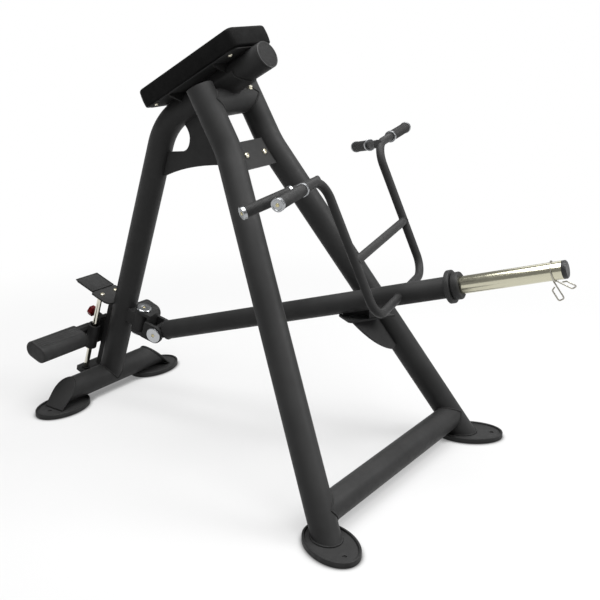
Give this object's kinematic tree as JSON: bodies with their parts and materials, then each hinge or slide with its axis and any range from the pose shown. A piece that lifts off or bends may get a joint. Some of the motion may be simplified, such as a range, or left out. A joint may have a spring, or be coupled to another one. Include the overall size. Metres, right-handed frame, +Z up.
{
  "type": "prone row machine",
  "caption": "Chest-supported lever row machine: inclined pad on a bent spine and splayed legs, two-way arm joint, twin handles, plate sleeve, sliding foot bar with pull pin.",
  "frame": {"origin": "middle of the machine's bounding box, on the floor", "axes": "+Z up; +Y back, from the foot bar toward the plate sleeve and the rear legs; +X to the right of a user seen from behind"},
  "size_m": [1.0089, 1.5775, 1.2007],
  "materials": {
    "powder_coat": "satin black powder coat with a faint texture",
    "moulded_rubber": "matt black moulded rubber",
    "pad_cover": "black grained synthetic leather over foam",
    "nickel_plate": "warm bright nickel plate",
    "zinc_wire": "bright zinc plated spring wire",
    "milled_aluminium": "fine turned and clear anodised",
    "red_plastic": "dark red, slightly grained",
    "black_plastic": "fine grained black"
  },
  "bodies": {
    "frame": {"spine_tube": "powder_coat", "front_base_tube": "powder_coat", "base_end_plate_left": "powder_coat", "base_end_plate_right": "powder_coat", "leg_left": "powder_coat", "leg_right": "powder_coat", "rear_cross_tube": "powder_coat", "top_cross_tube": "powder_coat", "saddle_sleeve": "powder_coat", "mid_gusset": "powder_coat", "leg_cross_plate": "powder_coat", "pad_plate": "powder_coat", "pad_stiffener_lower_left": "powder_coat", "pad_stiffener_lower_right": "powder_coat", "pad_stiffener_upper_left": "powder_coat", "pad_stiffener_upper_right": "powder_coat", "rack_strip": "powder_coat", "bottom_bracket": "powder_coat", "top_bracket": "powder_coat", "joint_lug": "powder_coat", "rest_plate": "powder_coat", "rest_blade": "powder_coat", "foot_front_left": "moulded_rubber", "foot_front_right": "moulded_rubber", "foot_rear_left": "moulded_rubber", "foot_rear_right": "moulded_rubber", "step_tread": "moulded_rubber", "rest_rubber": "moulded_rubber", "chest_pad": "pad_cover", "pad_tube_plug": "black_plastic", "guide_rod_left": "nickel_plate", "guide_rod_right": "nickel_plate"},
    "foot_carriage": {"carriage_body": "powder_coat", "foot_bar_left": "powder_coat", "foot_bar_right": "powder_coat", "foot_rubber_left": "moulded_rubber", "foot_rubber_right": "moulded_rubber", "pin_housing": "powder_coat"},
    "pull_pin": {"lock_pin": "nickel_plate", "pull_knob": "red_plastic"},
    "yoke": {"joint_yoke": "powder_coat", "swing_pin": "milled_aluminium"},
    "arm": {"arm_head": "powder_coat", "lift_pin": "milled_aluminium", "arm_tube": "powder_coat", "arm_flange": "powder_coat", "sleeve_bumper": "moulded_rubber", "plate_sleeve": "nickel_plate", "sleeve_plug": "black_plastic", "handle_frame": "powder_coat", "near_grip_left": "moulded_rubber", "near_grip_right": "moulded_rubber", "near_grip_left_cap": "milled_aluminium", "near_grip_right_cap": "milled_aluminium", "wide_grip_left": "moulded_rubber", "wide_grip_right": "moulded_rubber", "wide_grip_left_cap": "milled_aluminium", "wide_grip_right_cap": "milled_aluminium"},
    "clip": {"spring_clip": "zinc_wire"}
  },
  "joints": [
    {"name": "carriage_slide", "type": "slide", "parent": "frame", "child": "foot_carriage", "axis": [0, 0.3242, 0.946], "range_m": [-0.075, 0.075]},
    {"name": "pin_pull", "type": "slide", "parent": "foot_carriage", "child": "pull_pin", "axis": [0, -0.946, 0.3242], "range_m": [-0.0085, 0], "stiffness_N_per_m": 400, "springref_m": -0.0085},
    {"name": "arm_swing", "type": "hinge", "parent": "frame", "child": "yoke", "pos_m": [0.0483, -0.52693, 0.27665], "axis": [0, 0.3242, 0.946], "range_deg": [-22.6, 0]},
    {"name": "arm_lift", "type": "hinge", "parent": "yoke", "child": "arm", "pos_m": [0.034, -0.46122, 0.24757], "axis": [0.9806, 0.1854, -0.0635], "range_deg": [0, 12]},
    {"name": "clip_slide", "type": "slide", "parent": "arm", "child": "clip", "axis": [-0.1601, 0.9449, 0.2855], "range_m": [-0.2, 0.05]}
  ]
}
